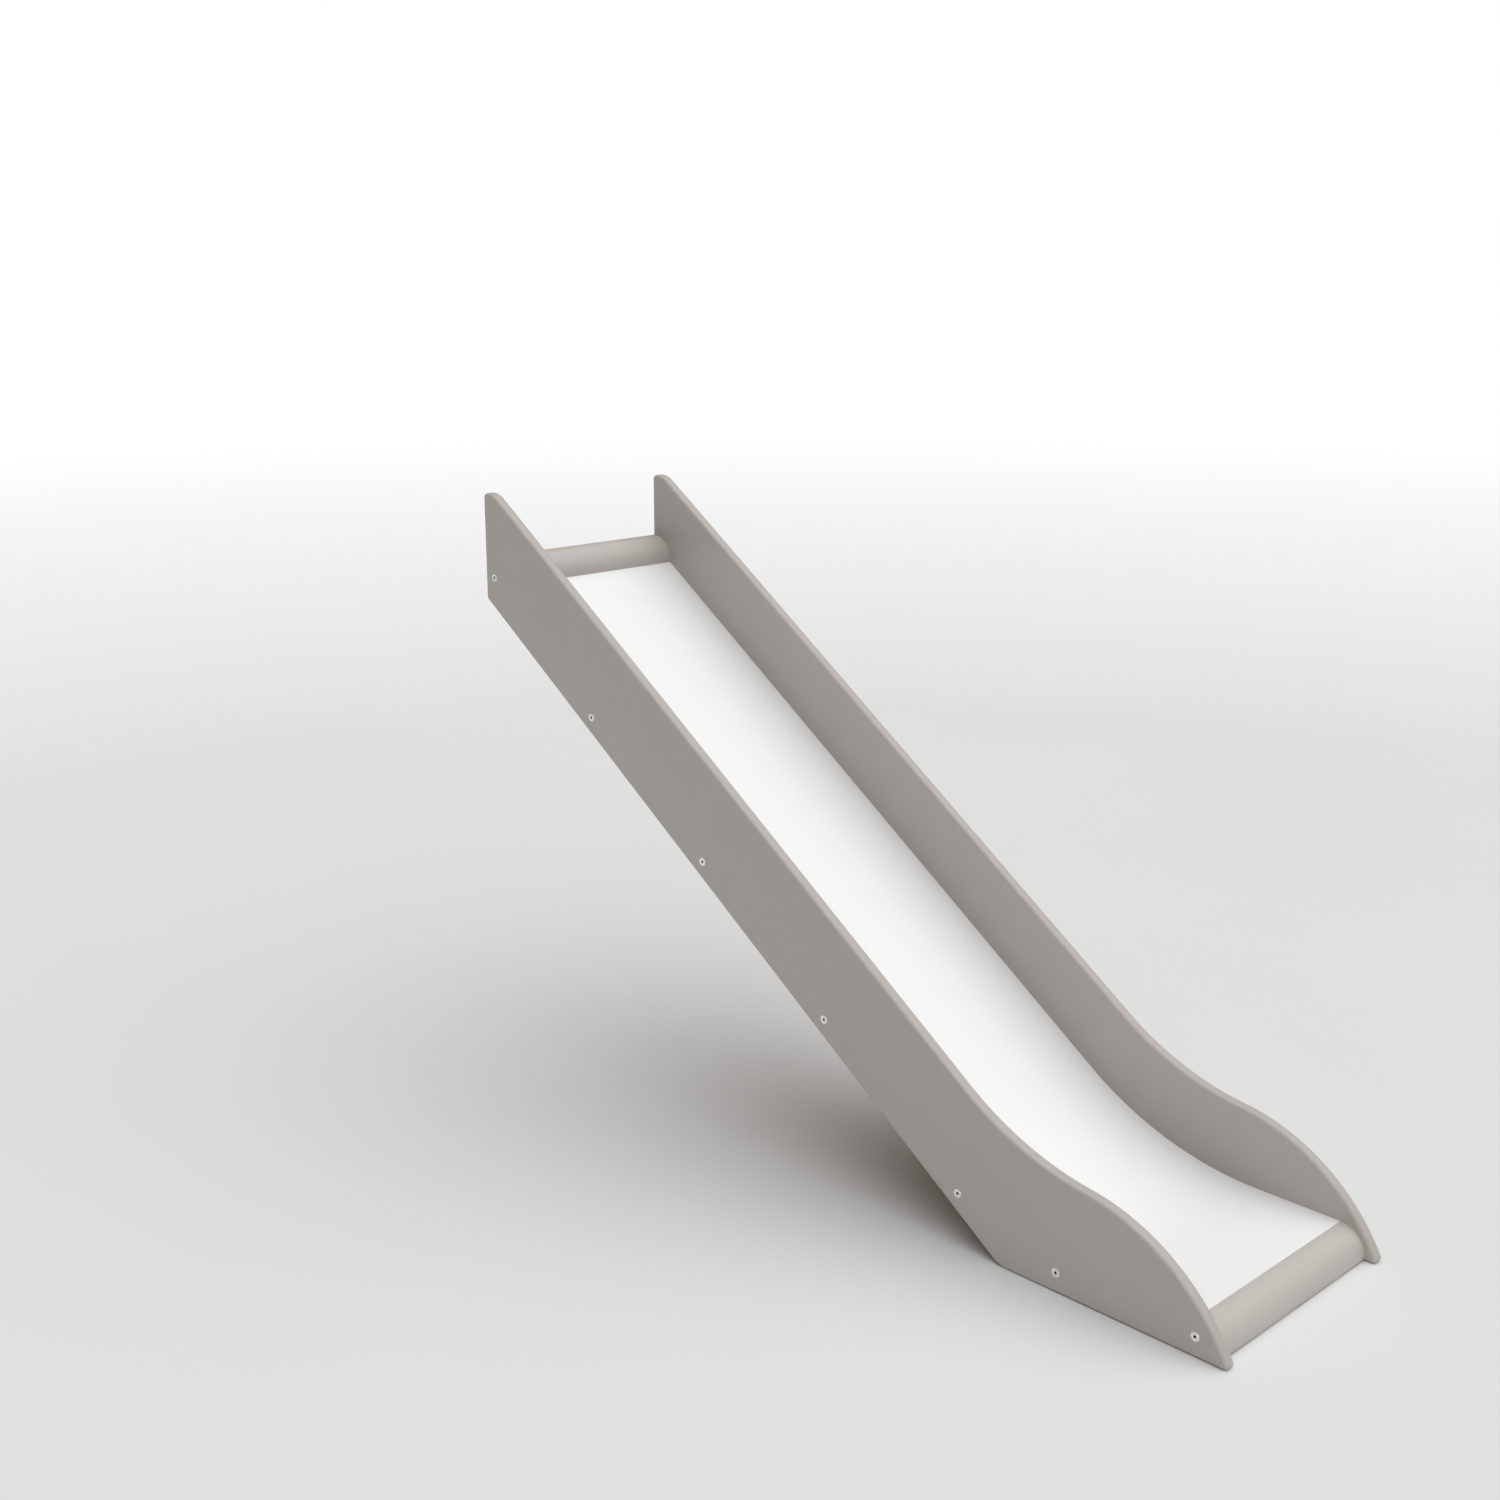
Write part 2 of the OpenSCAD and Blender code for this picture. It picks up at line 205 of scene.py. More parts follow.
class StageLook(bpy.types.PropertyGroup):
    """Floor, light and camera"""

    floor: colour("Floor", "Plain pale floor", (0.70, 0.70, 0.695))
    floor_radius: length("Floor radius", "Radius of the floor", 16000)
    floor_fade: length("Floor fade", "Distance at which the floor starts to fade out", 3000)
    key: amount("Key", "Brightness of the soft light overhead", 1.75)
    key_lean: triple("Key lean", "Direction of the overhead light", (0.12, -0.32, 1))
    sky: amount("Sky", "Brightness of the even light all round", 0.03)
    fill: amount("Fill", "Strength of the low side light", 0.8)
    fill_width: angle("Fill width", "How broad the low side light looks", 25)
    fill_heading: triple("Fill heading", "Where the low side light shines to", (1, 0.25, -0.02))
    camera: triple("Camera", "Place of the camera", (-2.116, -1.857, 1.368))
    heading: angle("Heading", "Direction of view, from +Y towards +X", 44.29)
    pitch: angle("Pitch", "Tilt of the view above the horizon", -14.70)
    lens: amount("Lens", "Focal length in millimetres", 46.14)


class SlideSettings(bpy.types.PropertyGroup):
    """Everything that can be set on the slide"""

    panels: PointerProperty(type=PanelShape)
    sheet: PointerProperty(type=SheetShape)
    members: PointerProperty(type=MemberShape)
    hardware: PointerProperty(type=HardwareShape)
    finishes: PointerProperty(type=Finishes)
    stage: PointerProperty(type=StageLook)


# ---- The side view ----


class SideView:
    """Where the lines of the slide run, seen from the side. Every point has x = 0."""

    def __init__(self, slide):
        self.panels, self.sheet = slide.panels, slide.sheet
        self.down = (bolt_axis(BATTENS[3]) - bolt_axis(BATTENS[0])).normalized()
        self.up = self.down.cross(ACROSS)
        self.slope = self.down.angle(FRONT)
        self.sheet_top = Vector((0, TOP_LOW.y, TOP_HIGH.z - self.sheet.nose_drop))
        self.sheet_end = EXIT_LOW.y + slide.members.nose_radius
        knee = self.at_height(0, EXIT_HIGH.z)
        radius = self.sheet.bend_radius
        self.bend = knee + radius * math.tan(self.slope / 2) * FRONT + radius * UP

    def at_height(self, raised, height):
        """The point at that height on the line that runs above the slope by raised."""
        start = self.sheet_top + raised * self.up
        return start + (height - start.z) / self.down.z * self.down

    def at_back(self, raised):
        start = self.sheet_top + raised * self.up
        return start + (BACK_Y - start.y) / self.down.y * self.down

    def band(self, low, high, back, front):
        """Outline between two lines that run above the sliding surface by low and by high.

        It starts at a distance back above the top of the sheet and ends at y = front.
        """
        start = self.sheet_top - back * self.down
        level = Vector((0, front, EXIT_HIGH.z))
        low_radius, high_radius = self.sheet.bend_radius - low, self.sheet.bend_radius - high
        return start + low * self.up, [
            (self.bend - low_radius * self.up, None),
            (self.bend - low_radius * UP, self.bend),
            (level + low * UP, None),
            (level + high * UP, None),
            (self.bend - high_radius * UP, None),
            (self.bend - high_radius * self.up, self.bend),
            (start + high * self.up, None),
            (start + low * self.up, None),
        ]

    def groove(self):
        """Outline of the sheet with its clearance all round."""
        grow = self.sheet.clearance
        return self.band(
            -self.sheet.thickness - grow, grow, self.sheet.let_in + grow, self.sheet_end - grow
        )

    def panel(self):
        """Outline of a side panel, from the back edge over the top to the toe and the floor."""
        p = self.panels
        back_angle = math.pi / 2 - self.slope
        crown = self.at_back(p.wall) + p.crown_back / self.down.dot(FRONT) * self.down
        crown -= p.crown_radius / self.up.z * UP
        inner, aside = p.crown_radius - p.crown_corner, p.crown_back - p.crown_corner
        corner = crown - aside * FRONT + math.sqrt(inner ** 2 - aside ** 2) * UP
        corner_end = crown + p.crown_radius / inner * (corner - crown)
        crest_dir = Matrix.Rotation(p.crest_slope, 3, ACROSS) @ FRONT
        crest_up = crest_dir.cross(ACROSS)
        knee = self.at_height(p.wall, p.knee_height)
        crest = knee + p.knee_radius * math.tan((self.slope - p.crest_slope) / 2) * crest_dir
        hollow = crest + p.knee_radius * crest_up
        toe = crest - p.toe_radius * crest_up
        reach = math.sqrt((p.toe_radius - p.tip_radius) ** 2 - (p.tip_radius - toe.z) ** 2)
        tip = Vector((0, toe.y - reach, p.tip_radius))
        tip_meet = toe + p.toe_radius / (p.toe_radius - p.tip_radius) * (tip - toe)
        back, heel = self.at_back(-p.under), self.at_height(-p.under, 0)
        back_cut = p.back_radius * math.tan(back_angle / 2)
        heel_cut = p.heel_radius * math.tan(self.slope / 2)
        start = back + back_cut * UP
        return start, [
            (corner - p.crown_corner * FRONT, None),
            (corner_end, corner),
            (crown + p.crown_radius * self.up, crown),
            (hollow - p.knee_radius * self.up, None),
            (crest, hollow),
            (tip_meet, toe),
            (tip - p.tip_radius * UP, tip),
            (heel + heel_cut * FRONT, None),
            (heel - heel_cut * self.down, heel + heel_cut * FRONT + p.heel_radius * UP),
            (back + back_cut * self.down, None),
            (start, start + p.back_radius * FRONT),
        ]

    def slopes(self, member):
        """True for a batten that lies square to the slope."""
        if member in RAILS:
            return False
        neighbour = BATTENS[1] if member == BATTENS[0] else BATTENS[0]
        along = (bolt_axis(member) - bolt_axis(neighbour)).normalized()
        return abs(along.dot(self.up)) < NEARLY_SQUARE


def rail_outline(low, high, nose_radius):
    """Outline of a rail with a round front edge, from its box."""
    start = Vector((0, high.y, low.z))
    nose = Vector((0, low.y + nose_radius, high.z - nose_radius))
    return start, [
        (Vector((0, high.y, high.z)), None),
        (nose + nose_radius * UP, None),
        (nose + nose_radius * FRONT, nose),
        (Vector((0, low.y, low.z)), None),
        (start, None),
    ]


def box_outline(centre, along, up, width, low, high):
    """Outline of a batten: width along the slide, and from low to high along up."""
    corners = [
        centre + sign * width / 2 * along + level * up
        for sign, level in ((1, low), (-1, low), (-1, high), (1, high))
    ]
    return corners[0], [(corner, None) for corner in corners[1:] + corners[:1]]


# ---- Modelling ----

CHORD_ERROR = 0.02 * MM  # by which the chords of an arc may miss it
WELD = 0.002 * MM
ROUND_STEPS = 6
EASED_STEPS = 4
LATHE_STEPS = 48
DRILL_STEPS = 32
END_FACE = 0.99  # least share of X in the normal of a board's end face
CORNER_ANGLE = math.radians(40)  # edges that bend less belong to a curve
SHARP_ANGLE = math.radians(35)  # edges that bend more are shaded sharp


def line_to(bm, vert, point):
    end = bmesh.ops.extrude_vert_indiv(bm, verts=[vert])["verts"][0]
    end.co = point
    return end


def arc_to(bm, vert, centre, point):
    """Sweeps vert round centre to point, the short way, and returns the last vertex."""
    start, stop = vert.co - centre, point - centre
    turn = start.angle(stop)
    steps = max(2, math.ceil(turn / (2 * math.acos(1 - CHORD_ERROR / start.length))))
    if start.cross(stop).dot(ACROSS) < 0:
        turn = -turn
    swept = bmesh.ops.spin(bm, geom=[vert], cent=centre, axis=ACROSS, angle=turn, steps=steps)
    return next(item for item in swept["geom_last"] if isinstance(item, bmesh.types.BMVert))


def draw(bm, start, moves):
    """Draws a closed outline in the plane x = 0 and fills it."""
    vert = bm.verts.new(start)
    for point, centre in moves:
        vert = line_to(bm, vert, point) if centre is None else arc_to(bm, vert, centre, point)
    bmesh.ops.remove_doubles(bm, verts=bm.verts, dist=WELD)
    return bmesh.ops.contextual_create(bm, geom=bm.edges[:])["faces"]


def board(outline, x_from, x_to):
    """A solid of constant section between two places along X."""
    bm = bmesh.new()
    faces = draw(bm, *outline)
    bmesh.ops.translate(bm, verts=bm.verts, vec=x_from * ACROSS)
    swept = bmesh.ops.extrude_face_region(bm, geom=faces, use_keep_orig=True)["geom"]
    ends = [item for item in swept if isinstance(item, bmesh.types.BMVert)]
    bmesh.ops.translate(bm, verts=ends, vec=(x_to - x_from) * ACROSS)
    bmesh.ops.recalc_face_normals(bm, faces=bm.faces)
    return bm


def end_faces(bm):
    return [face for face in bm.faces if abs(face.normal.x) > END_FACE]


def round_edges(bm, edges, radius, steps=ROUND_STEPS):
    """Rounds the edges over and marks the middle of each rounding in the attribute worn_edge."""
    layer = bm.verts.layers.float.get("worn_edge") or bm.verts.layers.float.new("worn_edge")
    made = bmesh.ops.bevel(
        bm, geom=edges, offset=radius, offset_type="OFFSET", affect="EDGES",
        segments=steps, profile=0.5, material=-1,
    )
    rounded = set(made["faces"])
    for vert in made["verts"]:
        vert[layer] = float(all(face in rounded for face in vert.link_faces))


def lathe(bm, profile, steps=LATHE_STEPS):
    """Turns a profile of (x, radius) round the X axis. A closed profile makes a ring."""
    vert = bm.verts.new((profile[0][0], profile[0][1], 0))
    for x, radius in profile[1:]:
        vert = line_to(bm, vert, (x, radius, 0))
    bmesh.ops.spin(
        bm, geom=bm.verts[:] + bm.edges[:], cent=(0, 0, 0), axis=ACROSS,
        angle=2 * math.pi, steps=steps, use_merge=True,
    )
    bmesh.ops.remove_doubles(bm, verts=bm.verts, dist=WELD)
    bmesh.ops.recalc_face_normals(bm, faces=bm.faces)


def drill(x_from, x_to, radius):
    """A plain cylinder along X to cut a hole with."""
    bm = bmesh.new()
    lathe(bm, [(x_from, 0), (x_from, radius), (x_to, radius), (x_to, 0)], DRILL_STEPS)
    return bm


def as_mesh(bm, name):
    mesh = bpy.data.meshes.new(name)
    bm.to_mesh(mesh)
    bm.free()
    return mesh


def repeated(mesh, places):
    """A bmesh with one copy of mesh at each place, which is a matrix."""
    bm = bmesh.new()
    for place in places:
        count = len(bm.verts)
        bm.from_mesh(mesh)
        bm.verts.ensure_lookup_table()
        bmesh.ops.transform(bm, matrix=place, verts=bm.verts[count:])
    return bm


def cut(bm, tools):
    """Takes the shapes of the bmeshes in tools out of bm, one after the other."""
    body = bpy.data.objects.new("uncut", as_mesh(bm, "uncut"))
    cutters = [bpy.data.objects.new("cutter", as_mesh(tool, "cutter")) for tool in tools]
    for item in [body] + cutters:
        bpy.context.collection.objects.link(item)
    for cutter in cutters:
        modifier = body.modifiers.new("cut", "BOOLEAN")
        modifier.operation = "DIFFERENCE"
        modifier.solver = "EXACT"
        modifier.object = cutter
    depsgraph = bpy.context.evaluated_depsgraph_get()
    result = bmesh.new()
    result.from_object(body, depsgraph)
    for item in [body] + cutters:
        mesh = item.data
        bpy.data.objects.remove(item)
        bpy.data.meshes.remove(mesh)
    if not result.faces:
        raise RuntimeError("A cut left nothing of a board")
    return result


def finish_piece(name, bm, nodes, materials):
    """Makes an object of bm that stands for the CAD nodes, rides on the frame and has smooth shading."""
    obj = bpy.data.objects.new(name, as_mesh(bm, name))
    bpy.context.collection.objects.link(obj)
    for material in materials:
        obj.data.materials.append(material)
    obj.data.shade_smooth()
    obj.data.set_sharp_from_angle(angle=SHARP_ANGLE)
    shading = obj.modifiers.new("even shading", "WEIGHTED_NORMAL")
    shading.keep_sharp = True
    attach(obj, "root")
    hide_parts(*nodes)


def at_left(x, point):
    """Places a shape that is drawn along +X from the origin, with its head at the left end."""
    return Matrix.Translation(point + x * ACROSS)


def at_right(x, point):
    """The same at the right end, turned round so that it points inwards."""
    return Matrix.Translation(point + x * ACROSS) @ Matrix.Rotation(math.pi, 4, "Z")


# ---- Shader building ----


class Nodes:
    """Adds nodes to a node tree and joins them."""

    def __init__(self, tree):
        self.tree = tree

    def add(self, kind, inputs=None, **settings):
        node = self.tree.nodes.new(kind)
        for name, value in settings.items():
            setattr(node, name, value)
        for name, value in (inputs or {}).items():
            if isinstance(value, bpy.types.NodeSocket):
                self.tree.links.new(value, node.inputs[name])
            else:
                node.inputs[name].default_value = value
        return node

    def math(self, operation, first, second=0.0):
        return self.add("ShaderNodeMath", {0: first, 1: second}, operation=operation).outputs[0]

    def weighted(self, first, first_weight, second, second_weight):
        """The sum of two values, each times its weight."""
        parts = [self.math("MULTIPLY", first, first_weight), self.math("MULTIPLY", second, second_weight)]
        return self.math("ADD", *parts)

    def vectors(self, operation, first, second=(0, 0, 0)):
        """Vector maths. A length or a dot product comes out as a number."""
        node = self.add("ShaderNodeVectorMath", {0: first, 1: second}, operation=operation)
        return node.outputs["Value" if operation in ("LENGTH", "DOT_PRODUCT") else "Vector"]

    def scaled(self, vector, factor):
        values = {0: vector, "Scale": factor}
        return self.add("ShaderNodeVectorMath", values, operation="SCALE").outputs["Vector"]

    def noise(self, vector, scale, detail=2.0, roughness=0.5, distortion=0.0):
        values = {
            "Vector": vector, "Scale": scale, "Detail": detail,
            "Roughness": roughness, "Distortion": distortion,
        }
        return self.add("ShaderNodeTexNoise", values).outputs["Fac"]

    def mix(self, factor, first, second):
        values = {0: factor, 6: first, 7: second}
        return self.add("ShaderNodeMix", values, data_type="RGBA").outputs[2]

    def overlay(self, under, mask, share, over):
        """Lays a colour over another one where the mask is high, up to that share."""
        return self.mix(self.math("MULTIPLY", mask, share), under, over)

    def remap(self, value, low, high, to_low=0.0, to_high=1.0):
        values = {"Value": value, "From Min": low, "From Max": high, "To Min": to_low, "To Max": to_high}
        return self.add("ShaderNodeMapRange", values, clamp=True).outputs[0]

    def cells(self, vector, scale):
        return self.add("ShaderNodeTexVoronoi", {"Vector": vector, "Scale": scale}, feature="F1").outputs

    def stretch(self, vector, scale):
        values = {"Vector": vector, "Scale": scale}
        return self.add("ShaderNodeMapping", values, vector_type="POINT").outputs[0]


def shader_group(name, inputs, outputs):
    """Starts a node group with named inputs, given as (kind, default), and value outputs."""
    tree = bpy.data.node_groups.new(name, "ShaderNodeTree")
    for label, (kind, default) in inputs.items():
        socket = tree.interface.new_socket(label, in_out="INPUT", socket_type="NodeSocket" + kind)
        if default is not None:
            socket.default_value = default
    for label in outputs:
        tree.interface.new_socket(label, in_out="OUTPUT", socket_type="NodeSocketFloat")
    nodes = Nodes(tree)
    return tree, nodes, nodes.add("NodeGroupInput").outputs


def close_group(tree, nodes, results):
    nodes.add("NodeGroupOutput", results)
    return tree


def wood_figure():
    """Growth rings and fibres of sawn wood whose grain runs along X."""
    tree, nodes, given = shader_group(
        "wood figure",
        {"Vector": ("Vector", None), "Ring spacing": ("Float", 0.004), "Waviness": ("Float", 0.006)},
        ["Rings", "Fibres", "Pores"],
    )
    slow = nodes.stretch(given["Vector"], (0.16, 1, 1))
    drift = nodes.add("ShaderNodeTexNoise", {"Vector": slow, "Scale": 11.0, "Detail": 2.0}).outputs["Color"]
    centred = nodes.vectors("SUBTRACT", drift, (0.5, 0.5, 0.5))
    bent = nodes.vectors("ADD", given["Vector"], nodes.scaled(centred, given["Waviness"]))
    flat = nodes.stretch(bent, (0.03, 1, 1))
    turns = nodes.math("DIVIDE", nodes.vectors("LENGTH", flat), given["Ring spacing"])
    saw = nodes.math("FRACT", turns)
    late = nodes.math("POWER", saw, 3.0)
    soft_edge = nodes.remap(saw, 0.9, 1.0, 1.0, 0.0)
    rings = nodes.math("MULTIPLY", late, soft_edge)
    fibres = nodes.noise(nodes.stretch(given["Vector"], (9, 620, 620)), 1.0, 3.0, 0.6)
    specks = nodes.noise(nodes.stretch(given["Vector"], (60, 1500, 1500)), 1.0, 1.0)
    pores = nodes.remap(specks, 0.62, 0.74)
    return close_group(tree, nodes, {"Rings": rings, "Fibres": fibres, "Pores": pores})


def mottling():
    """Slow clouds over a surface, from 0 to 1."""
    tree, nodes, given = shader_group(
        "mottling", {"Vector": ("Vector", None), "Scale": ("Float", 6.0)}, ["Clouds"]
    )
    broad = nodes.noise(given["Vector"], given["Scale"], 3.0, 0.55, 0.3)
    return close_group(tree, nodes, {"Clouds": nodes.remap(broad, 0.3, 0.7)})


def fine_scratches():
    """Hairline scratches along X that start and stop."""
    tree, nodes, given = shader_group(
        "fine scratches",
        {"Vector": ("Vector", None), "Fineness": ("Float", 900.0), "Amount": ("Float", 0.3)},
        ["Scratches"],
    )
    drawn_out = nodes.stretch(given["Vector"], (0.012, 1, 1))
    lines = nodes.noise(nodes.scaled(drawn_out, given["Fineness"]), 1.0, 1.0)
    thin = nodes.remap(lines, 0.66, 0.74)
    breaks = nodes.remap(nodes.noise(given["Vector"], 24.0, 2.0), 0.45, 0.6)
    shown = nodes.math("MULTIPLY", nodes.math("MULTIPLY", thin, breaks), given["Amount"])
    return close_group(tree, nodes, {"Scratches": shown})


def edge_wear():
    """Wear on rounded edges, broken up so that it is never even."""
    tree, nodes, given = shader_group(
        "edge wear", {"Vector": ("Vector", None), "Amount": ("Float", 0.5)}, ["Wear"]
    )
    edge = nodes.add("ShaderNodeAttribute", attribute_name="worn_edge").outputs["Fac"]
    patches = nodes.remap(nodes.noise(given["Vector"], 38.0, 4.0, 0.65), 0.35, 0.65)
    worn = nodes.math("MULTIPLY", nodes.math("MULTIPLY", edge, patches), given["Amount"])
    return close_group(tree, nodes, {"Wear": worn})


def sprayed_film():
    """The fine orange peel of a sprayed film."""
    tree, nodes, given = shader_group("sprayed film", {"Vector": ("Vector", None)}, ["Peel"])
    coarse = nodes.noise(given["Vector"], 260.0, 1.0)
    fine = nodes.noise(given["Vector"], 900.0, 1.0)
    return close_group(tree, nodes, {"Peel": nodes.weighted(coarse, 0.7, fine, 0.3)})


class Finish(Nodes):
    """A material under way, with its shader and its surface coordinates."""

    def __init__(self, name, turn=(0, 0, 0), offset=(0, 0, 0)):
        self.material = bpy.data.materials.new(name)
        self.material.use_nodes = True
        super().__init__(self.material.node_tree)
        self.shader = self.tree.nodes["Principled BSDF"]
        place = self.add("ShaderNodeTexCoord").outputs["Object"]
        values = {"Vector": place, "Rotation": turn, "Location": offset}
        self.along = self.add("ShaderNodeMapping", values, vector_type="POINT").outputs[0]

    def group(self, maker, **values):
        """Places a shared effect, with X of its coordinates along the grain."""
        name = maker.__name__.replace("_", " ")
        tree = bpy.data.node_groups.get(name) or maker()
        inputs = {"Vector": self.along}
        inputs.update({label.replace("_", " "): value for label, value in values.items()})
        return self.add("ShaderNodeGroup", inputs, node_tree=tree).outputs

    def clouds(self, scale):
        return self.group(mottling, Scale=scale)["Clouds"]

    def toned(self, mask, base, low, high):
        """The base colour times low where the mask is 0, and times high where it is 1."""
        return self.mix(mask, shade(base, low), shade(base, high))

    def surface(self, base_colour, roughness, height=None, relief=0.1 * MM, metallic=0.0):
        self.tree.links.new(base_colour, self.shader.inputs["Base Color"])
        self.tree.links.new(roughness, self.shader.inputs["Roughness"])
        self.shader.inputs["Metallic"].default_value = metallic
        if height is not None:
            bump = self.add("ShaderNodeBump", {"Height": height, "Distance": relief, "Strength": 1.0})
            self.tree.links.new(bump.outputs[0], self.shader.inputs["Normal"])
        return self.material


def shade(colour_value, factor):
    """The colour made darker or lighter, with an alpha for a node's socket."""
    return tuple(min(1, part * factor) for part in colour_value) + (1,)


def lacquer_finish(name, base, turn=(0, 0, 0)):
    """Satin lacquer over a sanded board, with the wood just showing through."""
    f = Finish(name, turn)
    wood = f.group(wood_figure, Ring_spacing=0.011, Waviness=0.05)
    clouds = f.clouds(4.5)
    wear = f.group(edge_wear, Amount=0.55)["Wear"]
    peel = f.group(sprayed_film)["Peel"]
    grain = f.weighted(wood["Rings"], 0.55, wood["Fibres"], 0.45)
    toned = f.toned(clouds, base, 0.985, 1.012)
    grained = f.overlay(toned, grain, 0.5, shade(base, 0.88))
    worn = f.mix(wear, grained, shade(base, 1.04))
    rough = f.remap(f.math("ADD", f.math("MULTIPLY", clouds, 0.5), peel), 0.3, 1.1, 0.40, 0.54)
    polished = f.math("SUBTRACT", rough, f.math("MULTIPLY", wear, 0.12))
    height = f.weighted(peel, 0.55, wood["Fibres"], 0.45)
    return f.surface(worn, polished, height, 0.16 * MM)


def laminate_finish(base, turn):
    """White melamine face with the fine marks that sliding leaves."""
    f = Finish("white laminate", turn)
    clouds = f.clouds(3.0)
    marks = f.group(fine_scratches, Fineness=900.0, Amount=0.5)["Scratches"]
    peel = f.group(sprayed_film)["Peel"]
    toned = f.toned(clouds, base, 0.985, 1.008)
    marked = f.overlay(toned, marks, 0.3, shade(base, 0.86))
    rough = f.math("ADD", f.remap(clouds, 0, 1, 0.30, 0.37), f.math("MULTIPLY", marks, 0.25))
    height = f.weighted(peel, 0.35, marks, -0.5)
    return f.surface(marked, rough, height, 0.05 * MM)


def hardboard_finish(base, turn):
    """Pressed brown fibre with dark flecks."""
    f = Finish("hardboard", turn)
    clouds = f.clouds(9.0)
    fibre = f.noise(f.along, 420.0, 5.0, 0.7, 1.2)
    flecks = f.remap(f.noise(f.along, 170.0, 3.0, 0.6, 0.8), 0.62, 0.72)
    toned = f.toned(clouds, base, 0.86, 1.1)
    fuzzy = f.mix(f.remap(fibre, 0.35, 0.65), toned, shade(base, 1.35))
    flecked = f.overlay(fuzzy, flecks, 0.6, shade(base, 0.45))
    rough = f.remap(fibre, 0.3, 0.7, 0.62, 0.82)
    return f.surface(flecked, rough, fibre, 0.2 * MM)


LATE_WOOD = (0.47, 0.235, 0.085, 1)
KNOT = (0.17, 0.07, 0.03, 1)


def pine_finish(name, base, centre):
    """Planed pine: wide growth rings round a heart at centre, and a few small knots."""
    f = Finish(name, offset=centre)
    wood = f.group(wood_figure, Ring_spacing=0.0042, Waviness=0.022)
    clouds = f.clouds(14.0)
    wear = f.group(edge_wear, Amount=0.5)["Wear"]
    cells = f.cells(f.stretch(f.along, (0.8, 1, 1)), 13.0)["Distance"]
    knots = f.remap(f.math("ADD", cells, f.math("MULTIPLY", clouds, 0.03)), 0.085, 0.13, 1.0, 0.0)
    toned = f.toned(clouds, base, 0.9, 1.08)
    ringed = f.overlay(toned, wood["Rings"], 0.85, LATE_WOOD)
    streaked = f.overlay(ringed, wood["Fibres"], 0.35, shade(base, 0.72))
    knotted = f.overlay(streaked, knots, 0.85, KNOT)
    worn = f.mix(wear, knotted, shade(base, 1.15))
    rough = f.remap(wood["Rings"], 0, 1, 0.60, 0.48)
    height = f.weighted(wood["Fibres"], 0.6, wood["Rings"], 0.5)
    return f.surface(worn, rough, height, 0.22 * MM)


def beech_finish(base):
    """Beech with its short dark rays."""
    f = Finish("beech")
    wood = f.group(wood_figure, Ring_spacing=0.0025, Waviness=0.01)
    toned = f.toned(wood["Fibres"], base, 1.12, 0.82)
    rayed = f.overlay(toned, wood["Pores"], 0.7, shade(base, 0.45))
    rough = f.remap(wood["Fibres"], 0.3, 0.7, 0.5, 0.66)
    return f.surface(rayed, rough, wood["Fibres"], 0.12 * MM)


def nickel_finish(base):
    """Satin nickel plate with fine tooling marks and a slow mottled tone."""
    f = Finish("nickel")
    clouds = f.clouds(90.0)
    marks = f.group(fine_scratches, Fineness=5200.0, Amount=0.8)["Scratches"]
    toned = f.toned(clouds, base, 0.9, 1.06)
    marked = f.overlay(toned, marks, 0.4, shade(base, 0.62))
    rough = f.math("ADD", f.remap(clouds, 0, 1, 0.24, 0.34), f.math("MULTIPLY", marks, 0.2))
    height = f.math("ADD", f.noise(f.along, 2600.0, 2.0), f.math("MULTIPLY", marks, -0.6))
    return f.surface(marked, rough, height, 0.02 * MM, 1.0)


def zinc_finish(base):
    """Dull zinc plate with a faint spangle."""
    f = Finish("zinc")
    spangle = f.cells(f.along, 420.0)["Color"]
    facets = f.add("ShaderNodeSeparateColor", {"Color": spangle}).outputs[0]
    clouds = f.clouds(60.0)
    toned = f.toned(facets, base, 0.86, 1.1)
    stained = f.overlay(toned, clouds, 0.3, shade(base, 0.7))
    rough = f.remap(facets, 0, 1, 0.34, 0.5)
    return f.surface(stained, rough, f.noise(f.along, 1900.0, 2.0), 0.02 * MM, 1.0)


def along_slope(side):
    """Turns surface coordinates so that X runs down the slope."""
    return (-side.slope, 0, math.pi / 2)


class SlideOperator:
    """What every step of the slide shares."""

    bl_options = {"REGISTER", "UNDO"}

    def execute(self, context):
        slide = context.scene.bed_slide
        self.build(slide, SideView(slide))
        return {"FINISHED"}


def head_cutter(slide):
    """The hole for a bolt with its countersink, drawn from the outer face along +X."""
    hardware, lip = slide.hardware, slide.panels.lip
    rim, shank = hardware.head_radius + lip / 2, slide.members.bolt_hole
    sunk = hardware.head_rim + hardware.head_sunk
    thickness, eased = OUTER_X - INNER_X, lip * 0.3
    bm = bmesh.new()
    lathe(bm, [
        (-MM, 0), (-MM, rim + lip), (0, rim + lip), (eased, rim + eased), (lip, rim),
        (sunk, rim), (sunk + rim - shank, shank), (thickness + MM, shank), (thickness + MM, 0),
    ])
    return as_mesh(bm, "head cutter")


